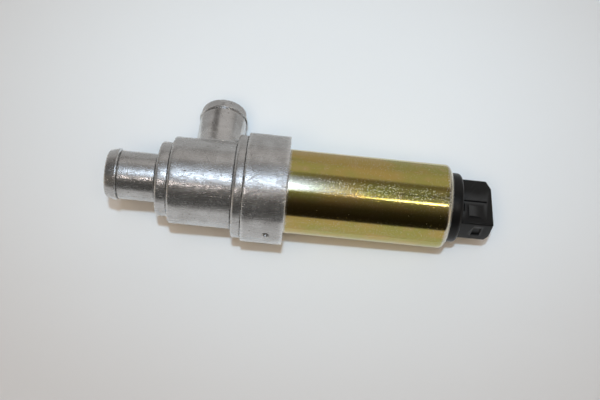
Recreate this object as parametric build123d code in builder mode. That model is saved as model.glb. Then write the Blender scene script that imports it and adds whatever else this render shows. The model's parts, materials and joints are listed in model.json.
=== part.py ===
from build123d import *
import os
from math import asin, atan2, cos, hypot, radians, sin, sqrt, tan

# Idle air control valve, in millimetres. A solenoid in the can pulls a poppet off its
# seat, so that air flows between the axial hose nipple and the side one. The valve is
# modelled upright: its axis is Z, the tip of the axial nipple is at z = 0, and the side
# nipple points along +Y. The last section lays it down as it comes to rest on a bench.

# Fits and clearances
slip_gap = 0.1            # pieces that are dropped into each other
running_gap = 0.05        # rod in its bush
armature_gap = 0.1        # armature in its guide sleeve
crimp_gap = 0.05          # cap under the rolled rim
boss_gap = 0.2            # cap's boss in the rim's edge
spring_gap = 0.3          # spring in its pockets

# Hose nipples
inlet_tube_r = 9.8        # axial nipple
inlet_bead = 0.7          # its bead's radius over its tube's
side_tube_r = 9.8         # side nipple
side_bead = 0.4
tube_wall = 1.9
tip_inset = 0.25          # tip's radius under the tube's
bead_rise = 4.2           # tip to the top of the bead
bead_land = 0.4
bead_step = 0.3           # steep back of the bead
tip_chamfer = 0.6
mouth_chamfer = 0.5

# Casting, outside
inlet_reach = 20.7        # axial nipple, tip to shoulder
shoulder_r = 15.0
shoulder_length = 5.1
barrel_r = 17.55
barrel_length = 25.5
ring_r = 20.8
ring_length = 4.1
collar_r = 22.0
collar_length = 16.7
side_reach = 37.2         # side nipple, valve axis to tip
side_offset = 16.9        # side nipple's axis behind the barrel's front
front_chamfer = 0.9       # front edges of shoulder and barrel
ring_chamfer = 1.1
collar_chamfer = 0.4
stake_r = 1.6             # staking dimple in the collar, opposite the side nipple
stake_depth = 1.8
stake_taper = 25
stake_offset = 10.1       # dimple behind the collar's front

# Casting, inside
orifice_r = 6.4
orifice_wall = 4.8        # wall between nipple and chamber
seat_width = 1.4
seat_height = 0.8
shelf_width = 3.2         # shelf round the chamber, on which the gasket lies
can_depth = 14.6          # how far the can sits in the collar
collar_lead = 0.4         # chamfer that leads the can in

# Can
can_r = 17.0
seat_step = 0.2           # stretch that sits in the collar is this much slimmer
can_wall = 1.2
can_front = 2.0
rim_bend = 55             # how far the rim is rolled in, degrees
rim_corner = 1.6
rim_width = 2.1           # rolled rim, from the can's outside to its edge

# Seals
gasket_thickness = 1.0    # flat gasket between casting and can
ring_section = 2.0        # square ring round the cap
ring_offset = 3.0         # ring behind the cap's front face

# Solenoid
pole_thickness = 6.0
nose_r = 7.9
nose_length = 5.5
bush_r = 3.6
pocket_depth = 5.0        # how far the sleeve sits in the front pole
sleeve_wall = 0.4
bobbin_length = 58.0
bobbin_wall = 1.1
flange_thickness = 1.6
flange_overhang = 1.3     # flanges past the wrapped winding
wrap_thickness = 0.4
plate_thickness = 3.0
spigot_r = 6.0
stop_thickness = 0.5
core_bore_r = 4.3
adjuster_length = 5.0
adjuster_recess = 3.5     # adjuster below the rear of the plate
adjuster_slot = 1.0
adjuster_slot_depth = 1.4

# Moving plunger
armature_r = 6.75
armature_length = 34.0
armature_front_gap = 1.0
stroke = 4.0
vent_width = 1.8
vent_depth = 1.2
armature_chamfer = 0.4
rod_r = 2.0
rod_grip = 20.0           # length pressed into the armature
rod_tip_r = 1.5
head_r = 8.8
head_thickness = 2.0
hub_r = 4.0
hub_length = 8.0
rod_step = 1.2            # rod's shoulder behind the head's front
washer_r = 8.4
washer_thickness = 1.6
clamp_r = 5.0
clamp_thickness = 0.5
nut_flats = 5.5
nut_height = 2.4
rod_end = 0.8             # rod past the nut
spring_wire_r = 0.4
spring_turns = 6
spring_pocket = 9.5       # depth of the armature's spring pocket

# Connector cap
cap_seat = 8.7            # cap's front face to the start of the rim's bend
boss_reach = 4.3          # boss past the rolled rim's edge
boss_chamfer = 1.3
socket_width = 21.8       # along Y
socket_height = 11.4      # along X
socket_reach = 13.1       # socket past the boss
socket_wall = 1.7
socket_round = 0.9
lip_chamfer = 0.6         # outer edge of the socket's mouth
corner_width = 4.0        # cut corner of the mouth at +Y
corner_drop = 2.1
heel_width = 3.2          # cut edge of the mouth at +X
heel_drop = 1.6
socket_floor = 1.0        # floor of the socket below the boss's face
key_width = 0.9           # groove along the middle of the broad face
key_depth = 0.9
key_stop = 2.2            # groove ends short of the mouth
latch_width = 5.0         # catch beside the groove
latch_offset = 5.2
latch_rise = 0.9
latch_back = 3.2          # catch's steep side above the boss
latch_ramp = 5.6
relief_width = 3.8        # slot at the foot of the catch
relief_offset = 3.4
relief_length = 1.9
relief_depth = 1.0
notch_length = 3.4        # pockets in the narrow sides
notch_width = 5.4
notch_depth = 1.0
notch_rim = 4.2           # pocket's edge to the mouth
blade_width = 2.8
blade_thickness = 0.8
blade_pitch = 5.5
blade_recess = 4.0        # blade tips below the mouth
tail_width = 2.0
tail_offset = 11.2        # tails from the valve axis
tail_depth = 1.1          # tails sunk into the bobbin's flange
strap_height = 3.0        # cross strap between blade and tail
strap_lift = 1.6          # strap above the rear plate
tail_gap = 0.5            # clearance round the tails in the rear plate

# Radii that follow from these
inlet_bead_r = inlet_tube_r + inlet_bead
inlet_bore_r = inlet_tube_r - tube_wall
side_bead_r = side_tube_r + side_bead
side_bore_r = side_tube_r - tube_wall
side_tip_r = side_tube_r - tip_inset
can_seat_r = can_r - seat_step
chamber_r = can_seat_r - shelf_width
can_inner_r = can_r - can_wall
inner_r = can_inner_r - slip_gap
sleeve_bore_r = armature_r + armature_gap
sleeve_r = sleeve_bore_r + sleeve_wall
bobbin_bore_r = sleeve_r + running_gap
hub_wall_r = bobbin_bore_r + bobbin_wall
wrap_r = inner_r - flange_overhang
winding_r = wrap_r - wrap_thickness

# Stations along the valve axis
shoulder_z = inlet_reach
barrel_z = shoulder_z + shoulder_length
ring_z = barrel_z + barrel_length
collar_z = ring_z + ring_length
collar_end = collar_z + collar_length
side_z = barrel_z + side_offset
chamber_floor = shoulder_z + orifice_wall
seat_z = chamber_floor + seat_height
can_z = collar_end - can_depth
gasket_z = can_z - gasket_thickness
pole_z = can_z + can_front
bobbin_z = pole_z + pole_thickness
sleeve_z = bobbin_z - pocket_depth
plate_z = bobbin_z + bobbin_length
cap_z = plate_z + plate_thickness
winding_z = bobbin_z + flange_thickness
winding_length = bobbin_length - 2 * flange_thickness
armature_z = sleeve_z + armature_front_gap
armature_end = armature_z + armature_length
core_z = armature_end + stroke + stop_thickness
adjuster_z = cap_z - adjuster_recess - adjuster_length
spring_z = armature_end - spring_pocket

# Rolled rim: where its bend starts, its outer corner, its edge, its inner corner and the boss in it
rim = radians(rim_bend)
bend_z = cap_z + cap_seat
rim_corner_z = bend_z + rim_corner * tan(rim / 2)
rim_edge_r = can_r - rim_width
rim_z = rim_corner_z + (can_r - rim_edge_r) / tan(rim)
rim_inner_z = rim_corner_z - can_wall * tan(rim / 2)
boss_r = rim_edge_r - can_wall * cos(rim) - boss_gap
boss_z = rim_z + boss_reach
mouth_z = boss_z + socket_reach


def under_rim(radius):
    """Height at which the cap's cone, a crimp gap below the rim's inner face, has this radius."""
    return rim_inner_z + (can_inner_r - radius) / tan(rim) - crimp_gap / sin(rim)


def nipple_outline(tube_r, bead_r, root):
    """Half section of a hose nipple, from its tip at 0 to its root."""
    tip_r = tube_r - tip_inset
    bead_top = bead_rise + bead_land
    Polyline(
        (0, 0),
        (tip_r - tip_chamfer, 0),
        (tip_r, tip_chamfer),
        (bead_r, bead_rise),
        (bead_r, bead_top),
        (tube_r, bead_top + bead_step),
        (tube_r, root),
        (0, root),
        close=True,
    )


def nipple_bore(bore_r, root):
    """Half section of a nipple's bore, from its mouth at 0 to its root."""
    Polyline(
        (0, 0),
        (bore_r + mouth_chamfer, 0),
        (bore_r, mouth_chamfer),
        (bore_r, root),
        (0, root),
        close=True,
    )


# Casting with both nipples
side_axis = Axis((0, 0, side_z), (0, 1, 0))
side_plane = Plane((0, side_reach, side_z), x_dir=(1, 0, 0), z_dir=(0, 0, -1))
stake_plane = Plane((0, -collar_r, collar_z + stake_offset), x_dir=(1, 0, 0), z_dir=(0, -1, 0))
with BuildPart() as valve_body:
    with BuildSketch(Plane.XZ):
        with BuildLine():
            nipple_outline(inlet_tube_r, inlet_bead_r, shoulder_z)
        make_face()
        with BuildLine():
            Polyline(
                (0, shoulder_z),
                (shoulder_r - front_chamfer, shoulder_z),
                (shoulder_r, shoulder_z + front_chamfer),
                (shoulder_r, barrel_z),
                (barrel_r - front_chamfer, barrel_z),
                (barrel_r, barrel_z + front_chamfer),
                (barrel_r, ring_z),
                (ring_r - ring_chamfer, ring_z),
                (ring_r, ring_z + ring_chamfer),
                (ring_r, collar_z),
                (collar_r - collar_chamfer, collar_z),
                (collar_r, collar_z + collar_chamfer),
                (collar_r, collar_end - collar_chamfer),
                (collar_r - collar_chamfer, collar_end),
                (0, collar_end),
                close=True,
            )
        make_face()
    revolve(axis=Axis.Z)
    with BuildSketch(side_plane):
        with BuildLine():
            nipple_outline(side_tube_r, side_bead_r, side_reach)
        make_face()
    revolve(axis=side_axis)
    with BuildSketch(Plane.XZ):
        with BuildLine():
            nipple_bore(inlet_bore_r, shoulder_z)
        make_face()
        with BuildLine():
            Polyline(
                (0, shoulder_z),
                (inlet_bore_r, shoulder_z),
                (orifice_r, shoulder_z + inlet_bore_r - orifice_r),
                (orifice_r, seat_z),
                (orifice_r + seat_width, seat_z),
                (orifice_r + seat_width, chamber_floor),
                (chamber_r, chamber_floor),
                (chamber_r, gasket_z),
                (can_seat_r, gasket_z),
                (can_seat_r, collar_end - collar_lead),
                (can_seat_r + collar_lead, collar_end),
                (0, collar_end),
                close=True,
            )
        make_face()
    revolve(axis=Axis.Z, mode=Mode.SUBTRACT)
    with BuildSketch(side_plane):
        with BuildLine():
            nipple_bore(side_bore_r, side_reach)
        make_face()
    revolve(axis=side_axis, mode=Mode.SUBTRACT)
    with BuildSketch(stake_plane):
        Circle(stake_r)
    extrude(amount=-stake_depth, taper=stake_taper, mode=Mode.SUBTRACT)

with BuildPart() as body_gasket:
    with BuildSketch(Plane.XY.offset(gasket_z)):
        Circle(can_seat_r)
        Circle(chamber_r, mode=Mode.SUBTRACT)
    extrude(amount=gasket_thickness)

# Deep drawn can, its rear rim rolled in over the cap
with BuildPart() as solenoid_can:
    with BuildSketch(Plane.XZ):
        with BuildLine():
            FilletPolyline(
                (nose_r + slip_gap, can_z),
                (can_seat_r, can_z),
                (can_seat_r, collar_end),
                (can_r, collar_end),
                (can_r, rim_corner_z),
                (rim_edge_r, rim_z),
                (rim_edge_r - can_wall * cos(rim), rim_z - can_wall * sin(rim)),
                (can_inner_r, rim_inner_z),
                (can_inner_r, pole_z),
                (nose_r + slip_gap, pole_z),
                radius=[0, 0, 0, 0, rim_corner, 0, 0, 0, 0, 0],
                close=True,
            )
        make_face()
    revolve(axis=Axis.Z)

# Front pole piece, with the nose that carries the rod's bush
with BuildPart() as front_pole:
    with BuildSketch(Plane.XZ):
        with BuildLine():
            Polyline(
                (bush_r, can_z - nose_length),
                (nose_r, can_z - nose_length),
                (nose_r, pole_z),
                (inner_r, pole_z),
                (inner_r, bobbin_z),
                (sleeve_r, bobbin_z),
                (sleeve_r, sleeve_z),
                (bush_r, sleeve_z),
                close=True,
            )
        make_face()
    revolve(axis=Axis.Z)

with BuildPart() as front_bush:
    with BuildSketch(Plane.XY.offset(can_z - nose_length)):
        Circle(bush_r)
        Circle(rod_r + running_gap, mode=Mode.SUBTRACT)
    extrude(amount=sleeve_z - can_z + nose_length)

with BuildPart() as guide_sleeve:
    with BuildSketch(Plane.XY.offset(sleeve_z)):
        Circle(sleeve_r)
        Circle(sleeve_bore_r, mode=Mode.SUBTRACT)
    extrude(amount=plate_z - sleeve_z)

# Contact blades: flat stampings with the tail set outwards
tail_z = plate_z - tail_depth
strap_z = cap_z + strap_lift
blade_tip_z = mouth_z - blade_recess
blades = []
for side, blade_name in ((-1, "terminal_left"), (1, "terminal_right")):
    with BuildPart() as blade:
        with BuildSketch(Plane.YZ) as outline:
            with BuildLine():
                near = side * (blade_pitch - blade_width) / 2
                far = side * (blade_pitch + blade_width) / 2
                tail_in = side * (tail_offset - tail_width / 2)
                tail_out = side * (tail_offset + tail_width / 2)
                Polyline(
                    (near, strap_z),
                    (near, blade_tip_z),
                    (far, blade_tip_z),
                    (far, strap_z + strap_height),
                    (tail_out, strap_z + strap_height),
                    (tail_out, tail_z),
                    (tail_in, tail_z),
                    (tail_in, strap_z),
                    close=True,
                )
            make_face()
        extrude(amount=blade_thickness / 2, both=True)
        tip_edges = blade.faces().sort_by(Axis.Z)[-1].edges()
        chamfer(tip_edges.filter_by(Axis.Y), blade_thickness / 4)
    blade.part.label = blade_name
    blades.append(blade)

with BuildPart() as coil_bobbin:
    with BuildSketch(Plane.XZ):
        with BuildLine():
            Polyline(
                (bobbin_bore_r, bobbin_z),
                (inner_r, bobbin_z),
                (inner_r, winding_z),
                (hub_wall_r, winding_z),
                (hub_wall_r, winding_z + winding_length),
                (inner_r, winding_z + winding_length),
                (inner_r, plate_z),
                (bobbin_bore_r, plate_z),
                close=True,
            )
        make_face()
    revolve(axis=Axis.Z)
    for blade in blades:
        add(blade.part, mode=Mode.SUBTRACT)

with BuildPart() as coil_winding:
    with BuildSketch(Plane.XY.offset(winding_z)):
        Circle(winding_r)
        Circle(hub_wall_r, mode=Mode.SUBTRACT)
    extrude(amount=winding_length)

with BuildPart() as coil_wrap:
    with BuildSketch(Plane.XY.offset(winding_z)):
        Circle(wrap_r)
        Circle(winding_r, mode=Mode.SUBTRACT)
    extrude(amount=winding_length)

# Fixed core, and the plate that it is riveted to
with BuildPart() as fixed_core:
    with BuildSketch(Plane.XZ):
        with BuildLine():
            Polyline(
                (core_bore_r, core_z),
                (sleeve_bore_r, core_z),
                (sleeve_bore_r, plate_z),
                (spigot_r, plate_z),
                (spigot_r, cap_z),
                (core_bore_r, cap_z),
                close=True,
            )
        make_face()
    revolve(axis=Axis.Z)

with BuildPart() as rear_pole_plate:
    with BuildSketch(Plane.XY.offset(plate_z)):
        Circle(inner_r)
        Circle(spigot_r, mode=Mode.SUBTRACT)
        with Locations((0, -tail_offset), (0, tail_offset)):
            Rectangle(blade_thickness + 2 * tail_gap, tail_width + 2 * tail_gap, mode=Mode.SUBTRACT)
    extrude(amount=plate_thickness)

with BuildPart() as stop_washer:
    with BuildSketch(Plane.XY.offset(core_z - stop_thickness)):
        Circle(armature_r)
        Circle(core_bore_r, mode=Mode.SUBTRACT)
    extrude(amount=stop_thickness)

with BuildPart() as spring_adjuster:
    with BuildSketch(Plane.XY.offset(adjuster_z)):
        Circle(core_bore_r)
    extrude(amount=adjuster_length)
    with BuildSketch(Plane.XY.offset(adjuster_z + adjuster_length)):
        Rectangle(2 * core_bore_r, adjuster_slot)
    extrude(amount=-adjuster_slot_depth, mode=Mode.SUBTRACT)

with BuildPart() as return_spring:
    spring_coil_r = core_bore_r - spring_gap - spring_wire_r
    spring_low = spring_z + spring_wire_r
    spring_rise = adjuster_z - spring_z - 2 * spring_wire_r
    with BuildLine(Plane.XY.offset(spring_low)) as coil:
        Helix(spring_rise / spring_turns, spring_rise, spring_coil_r)
    with BuildSketch(Plane(coil.line @ 0, x_dir=(1, 0, 0), z_dir=coil.line % 0)):
        RegularPolygon(spring_wire_r, 6)
    sweep(is_frenet=True)

# Plunger: armature, rod and poppet
with BuildPart() as armature:
    with BuildSketch(Plane.XZ):
        with BuildLine():
            Polyline(
                (rod_r, armature_z),
                (armature_r - armature_chamfer, armature_z),
                (armature_r, armature_z + armature_chamfer),
                (armature_r, armature_end - armature_chamfer),
                (armature_r - armature_chamfer, armature_end),
                (core_bore_r, armature_end),
                (core_bore_r, spring_z),
                (0, spring_z),
                (0, armature_z + rod_grip),
                (rod_r, armature_z + rod_grip),
                close=True,
            )
        make_face()
    revolve(axis=Axis.Z)
    with BuildSketch(Plane.XY.offset(armature_z)):
        with PolarLocations(armature_r, 2):
            Rectangle(2 * vent_depth, vent_width)
    extrude(amount=armature_length, mode=Mode.SUBTRACT)

head_z = seat_z + washer_thickness
rod_step_z = head_z + rod_step
nut_z = seat_z - clamp_thickness - nut_height
with BuildPart() as valve_rod:
    with BuildSketch(Plane.XZ):
        with BuildLine():
            Polyline(
                (0, nut_z - rod_end),
                (rod_tip_r, nut_z - rod_end),
                (rod_tip_r, rod_step_z),
                (rod_r, rod_step_z),
                (rod_r, armature_z + rod_grip),
                (0, armature_z + rod_grip),
                close=True,
            )
        make_face()
    revolve(axis=Axis.Z)

with BuildPart() as valve_head:
    with BuildSketch(Plane.XZ):
        with BuildLine():
            Polyline(
                (rod_tip_r, head_z),
                (head_r, head_z),
                (head_r, head_z + head_thickness),
                (hub_r, head_z + head_thickness),
                (hub_r, head_z + head_thickness + hub_length),
                (rod_r, head_z + head_thickness + hub_length),
                (rod_r, rod_step_z),
                (rod_tip_r, rod_step_z),
                close=True,
            )
        make_face()
    revolve(axis=Axis.Z)

with BuildPart() as seat_washer:
    with BuildSketch(Plane.XY.offset(seat_z)):
        Circle(washer_r)
        Circle(rod_tip_r, mode=Mode.SUBTRACT)
    extrude(amount=washer_thickness)

with BuildPart() as clamp_washer:
    with BuildSketch(Plane.XY.offset(seat_z - clamp_thickness)):
        Circle(clamp_r)
        Circle(rod_tip_r, mode=Mode.SUBTRACT)
    extrude(amount=clamp_thickness)

with BuildPart() as head_nut:
    with BuildSketch(Plane.XY.offset(nut_z)):
        RegularPolygon(nut_flats / 2, 6, major_radius=False)
        Circle(rod_tip_r, mode=Mode.SUBTRACT)
    extrude(amount=nut_height)

# Moulded cap with the plug socket, cast round the contact blades
top_plane = Plane((-socket_height / 2, 0, boss_z), x_dir=(0, -1, 0), z_dir=(-1, 0, 0))
ring_low = cap_z + ring_offset
with BuildPart() as connector_cap:
    with BuildSketch(Plane.XZ):
        with BuildLine():
            Polyline(
                (0, cap_z),
                (inner_r, cap_z),
                (inner_r, ring_low),
                (inner_r - ring_section, ring_low),
                (inner_r - ring_section, ring_low + ring_section),
                (inner_r, ring_low + ring_section),
                (inner_r, under_rim(inner_r)),
                (boss_r, under_rim(boss_r)),
                (boss_r, boss_z - boss_chamfer),
                (boss_r - boss_chamfer, boss_z),
                (0, boss_z),
                close=True,
            )
        make_face()
    revolve(axis=Axis.Z)
    with BuildSketch(Plane.XY.offset(boss_z)):
        RectangleRounded(socket_height, socket_width, socket_round)
    extrude(amount=socket_reach)
    chamfer(connector_cap.faces().sort_by(Axis.Z)[-1].edges(), lip_chamfer)
    with BuildSketch(Plane.XY.offset(mouth_z)):
        RectangleRounded(
            socket_height - 2 * socket_wall, socket_width - 2 * socket_wall, socket_round / 2
        )
    extrude(amount=-(socket_reach + socket_floor), mode=Mode.SUBTRACT)
    # Cut corner and cut edge of the mouth
    for plane, edge, width, drop, reach in (
        (Plane.YZ, socket_width / 2, corner_width, corner_drop, socket_height / 2),
        (Plane.XZ, socket_height / 2, heel_width, heel_drop, socket_width / 2),
    ):
        with BuildSketch(plane):
            with BuildLine():
                Polyline((edge - width, mouth_z), (edge, mouth_z), (edge, mouth_z - drop), close=True)
            make_face()
        extrude(amount=reach, both=True, mode=Mode.SUBTRACT)
    # Key groove along the middle of the broad face
    with BuildSketch(top_plane):
        with Locations((0, (socket_reach - key_stop) / 2)):
            Rectangle(key_width, socket_reach - key_stop)
    extrude(amount=-key_depth, mode=Mode.SUBTRACT)
    # Slot at the foot of the catch
    with BuildSketch(top_plane):
        with Locations((relief_offset, relief_length / 2)):
            Rectangle(relief_width, relief_length)
    extrude(amount=-relief_depth, mode=Mode.SUBTRACT)
    # Catch with a ramp towards the mouth
    with BuildSketch(Plane.XZ.offset(latch_offset - latch_width / 2)):
        with BuildLine():
            Polyline(
                (-socket_height / 2, boss_z + latch_back),
                (-socket_height / 2 - latch_rise, boss_z + latch_back),
                (-socket_height / 2, boss_z + latch_back + latch_ramp),
                close=True,
            )
        make_face()
    extrude(amount=latch_width)
    # Pockets in the narrow sides
    notch_z = mouth_z - notch_rim - notch_length / 2
    for side in (-1, 1):
        with BuildSketch(Plane((0, side * socket_width / 2, notch_z), x_dir=(1, 0, 0), z_dir=(0, side, 0))):
            Rectangle(notch_width, notch_length)
        extrude(amount=-notch_depth, mode=Mode.SUBTRACT)
    for blade in blades:
        add(blade.part, mode=Mode.SUBTRACT)

with BuildPart() as cap_seal:
    with BuildSketch(Plane.XY.offset(ring_low)):
        Circle(can_inner_r)
        Circle(inner_r - ring_section, mode=Mode.SUBTRACT)
    extrude(amount=ring_section)


def lying_place():
    """Where the upright valve goes when it lies on its collar, its can and its side nipple."""
    # The axis slopes until the rear edge of the collar and the rolled rim reach the bench together.
    collar_edge_z = collar_end - collar_chamfer
    length = bend_z - collar_edge_z
    drop = collar_r - (can_r - rim_corner)
    slope = atan2(drop, length) - asin(rim_corner / hypot(length, drop))
    height = sin(slope) * collar_edge_z + cos(slope) * collar_r
    # The valve leans over until the side nipple's tip reaches the bench.
    low = 0.0
    high = radians(80)
    for halving in range(50):
        lean = (low + high) / 2
        down = sin(lean) * cos(slope)
        reach = down * (side_reach - tip_chamfer) + sqrt(1 - down * down) * side_tip_r
        if reach < height - sin(slope) * side_z:
            low = lean
        else:
            high = lean
    axis = Vector(cos(slope), 0, -sin(slope))
    side = Vector(-sin(lean) * sin(slope), cos(lean), -sin(lean) * cos(slope))
    return Plane((0, 0, height), x_dir=side.cross(axis), z_dir=axis)


pieces = {
    "valve_body": valve_body,
    "solenoid_can": solenoid_can,
    "connector_cap": connector_cap,
    "body_gasket": body_gasket,
    "cap_seal": cap_seal,
    "front_pole": front_pole,
    "front_bush": front_bush,
    "guide_sleeve": guide_sleeve,
    "coil_bobbin": coil_bobbin,
    "coil_winding": coil_winding,
    "coil_wrap": coil_wrap,
    "fixed_core": fixed_core,
    "rear_pole_plate": rear_pole_plate,
    "stop_washer": stop_washer,
    "spring_adjuster": spring_adjuster,
    "return_spring": return_spring,
    "terminal_left": blades[0],
    "terminal_right": blades[1],
    "armature": armature,
    "valve_rod": valve_rod,
    "valve_head": valve_head,
    "seat_washer": seat_washer,
    "clamp_washer": clamp_washer,
    "head_nut": head_nut,
}

lying = lying_place()
outside = Compound(children=[lying.location * valve_body.part, lying.location * connector_cap.part])
middle = outside.bounding_box().center()
place = Location((-middle.X, -middle.Y, 0)) * lying.location

os.makedirs("parts", exist_ok=True)
for name, piece in pieces.items():
    laid = piece.part.moved(place)
    laid.label = name
    export_step(laid, f"parts/{name}.step")
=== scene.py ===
"""Idle air valve on a pale bench: casting, can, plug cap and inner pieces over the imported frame."""
import json
from math import cos, hypot, pi, radians, sin, sqrt, tan

import bmesh
import bpy
import numpy as np
from bpy.props import FloatProperty, FloatVectorProperty, IntProperty, PointerProperty
from mathutils import Matrix, Vector


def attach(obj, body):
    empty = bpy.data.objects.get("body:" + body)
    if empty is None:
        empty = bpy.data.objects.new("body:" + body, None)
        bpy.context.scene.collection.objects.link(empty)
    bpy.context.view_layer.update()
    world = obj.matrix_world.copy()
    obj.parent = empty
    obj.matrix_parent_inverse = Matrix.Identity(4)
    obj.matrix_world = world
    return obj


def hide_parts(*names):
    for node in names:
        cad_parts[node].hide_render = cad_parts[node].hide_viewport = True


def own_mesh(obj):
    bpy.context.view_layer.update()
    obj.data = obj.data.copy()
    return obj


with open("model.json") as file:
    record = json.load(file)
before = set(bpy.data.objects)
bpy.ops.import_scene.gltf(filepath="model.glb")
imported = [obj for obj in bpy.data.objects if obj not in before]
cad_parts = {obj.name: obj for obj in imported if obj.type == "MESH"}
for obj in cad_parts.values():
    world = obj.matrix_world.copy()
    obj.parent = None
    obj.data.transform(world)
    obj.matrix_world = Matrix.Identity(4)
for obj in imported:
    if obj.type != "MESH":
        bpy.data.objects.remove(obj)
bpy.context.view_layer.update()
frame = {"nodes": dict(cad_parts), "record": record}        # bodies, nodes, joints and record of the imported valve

bl_info = {
    "name": "Idle Air Valve",
    "version": (1, 0, 0),
    "blender": (4, 5, 0),
    "location": "View3D > Sidebar > Air Valve",
    "description": "Dresses the packed idle air valve and sets up its bench, light and camera",
    "category": "Object",
}

# The valve's own frame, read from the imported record: Z runs along the valve from the tip of the axial
# nipple, Y towards the side nipple's mouth, and -X is the side that faces up on the bench.
MOUNTS = {mount["name"]: mount for mount in frame["record"]["mounts"]}
AXIS = Vector(MOUNTS["can_band"]["axis"])
SIDE = Vector(MOUNTS["side_nipple"]["axis"])
ACROSS = SIDE.cross(AXIS)


def reach(node, direction):
    """Lowest and highest place of a CAD node along a direction."""
    places = [vertex.co.dot(direction) for vertex in frame["nodes"][node].data.vertices]
    return min(places), max(places)


TIP, COLLAR_END = reach("valve_body", AXIS)
ON_AXIS = Vector(MOUNTS["can_band"]["pos_m"])
ORIGIN = ON_AXIS + AXIS * (TIP - ON_AXIS.dot(AXIS))
VALVE = Matrix.Translation(ORIGIN) @ Matrix((ACROSS, SIDE, AXIS)).transposed().to_4x4()
MM = 0.001


def station(node, end):
    """Distance from the axial nipple's tip to the front (0) or rear (1) end of a CAD node."""
    return reach(node, AXIS)[end] - TIP


def radii(node):
    """Smallest and largest distance of a CAD node from the valve's axis."""
    to_valve = VALVE.inverted()
    places = [to_valve @ vertex.co for vertex in frame["nodes"][node].data.vertices]
    distances = [hypot(place.x, place.y) for place in places]
    return min(distances), max(distances)


def mount_radius(name):
    return MOUNTS[name]["dims"]["r_mm"] * MM


def length(name, description, millimetres):
    """A length property, in metres, with its default given in millimetres."""
    return FloatProperty(
        name=name, description=description, default=millimetres * MM, unit="LENGTH", precision=5
    )


def angle_setting(name, description, degrees):
    """An angle property, in radians, with its default given in degrees."""
    return FloatProperty(name=name, description=description, default=radians(degrees), subtype="ANGLE")


def colour(name, description, default):
    return FloatVectorProperty(
        name=name, description=description, default=default, size=3, subtype="COLOR", min=0, max=1
    )


# Sizes and colours that a user may change


class CastingSizes(bpy.types.PropertyGroup):
    """Turned aluminium casting with both hose nipples"""

    inlet_tube: length("Inlet Tube", "Outside of the axial nipple's tube", 9.8)
    side_tube: length("Side Tube", "Outside of the side nipple's tube", 9.8)
    tip_inset: length("Tip Inset", "Radius behind the tip's round, under the tube's", 0.25)
    tip_length: length("Tip Length", "Length of the tip's round", 0.6)
    bead_rise: length("Bead Rise", "Tip to the near edge of the bead", 4.2)
    bead_land: length("Bead Land", "Length of the bead's top", 0.4)
    bead_step: length("Bead Step", "Length of the bead's steep back", 0.3)
    shoulder_start: length("Shoulder Start", "Tip to the shoulder", 20.7)
    shoulder_radius: length("Shoulder Radius", "Outside of the shoulder", 15.0)
    barrel_start: length("Barrel Start", "Tip to the barrel", 25.8)
    barrel_radius: length("Barrel Radius", "Outside of the barrel", 17.55)
    ring_start: length("Ring Start", "Tip to the ring", 51.3)
    ring_radius: length("Ring Radius", "Outside of the ring", 20.8)
    collar_start: length("Collar Start", "Tip to the collar", 55.4)
    collar_radius: length("Collar Radius", "Outside of the collar", 22.0)
    orifice_radius: length("Orifice Radius", "Opening in the valve seat", 6.4)
    seat_start: length("Seat Start", "Tip to the top of the valve seat", 26.3)
    seat_height: length("Seat Height", "Seat above the chamber's floor", 0.8)
    seat_width: length("Seat Width", "Width of the valve seat", 1.4)
    chamber_radius: length("Chamber Radius", "Inside of the air chamber", 13.6)
    chamber_end: length("Chamber End", "Tip to the rear of the air chamber", 56.5)
    seat_bore_radius: length("Can Seat Radius", "Bore that takes the can", 16.8)
    foot_fillet: length("Foot Fillet", "Casting fillet round the side nipple's foot", 1.0)
    groove: length("Groove", "Depth of the tool relief turned beside each step", 0.3)
    groove_width: length("Groove Width", "Width of the tool relief", 0.62)
    stake_radius: length("Stake Radius", "Staking dimple in the collar", 1.6)
    stake_depth: length("Stake Depth", "Depth of the staking dimple", 1.8)
    stake_place: length("Stake Place", "Tip to the staking dimple", 65.5)
    segments: IntProperty(name="Segments", description="Facets round the casting", default=168, min=24)


class CanSizes(bpy.types.PropertyGroup):
    """Deep drawn can with its rear rim rolled in"""

    wall: length("Wall", "Sheet thickness", 1.2)
    front: length("Front Wall", "Thickness of the can's front", 2.0)
    nose_bore: length("Nose Bore", "Hole for the pole's nose", 8.0)
    seat_radius: length("Seat Radius", "Stretch inside the collar", 16.8)
    rim_width: length("Rim Width", "How far the rim is rolled in", 2.1)
    rim_corner: length("Rim Corner", "Bend radius of the rim", 1.6)
    rim_edge: length("Rim Edge", "Rounding of the rim's cut edge", 0.35)
    rim_tilt: angle_setting("Rim Tilt", "How far the rim is bent", 55)
    rubbed_side: angle_setting("Rubbed Side", "Place of the rubbed strip round the can", -156.1)
    segments: IntProperty(name="Segments", description="Facets round the can", default=168, min=24)


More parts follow.
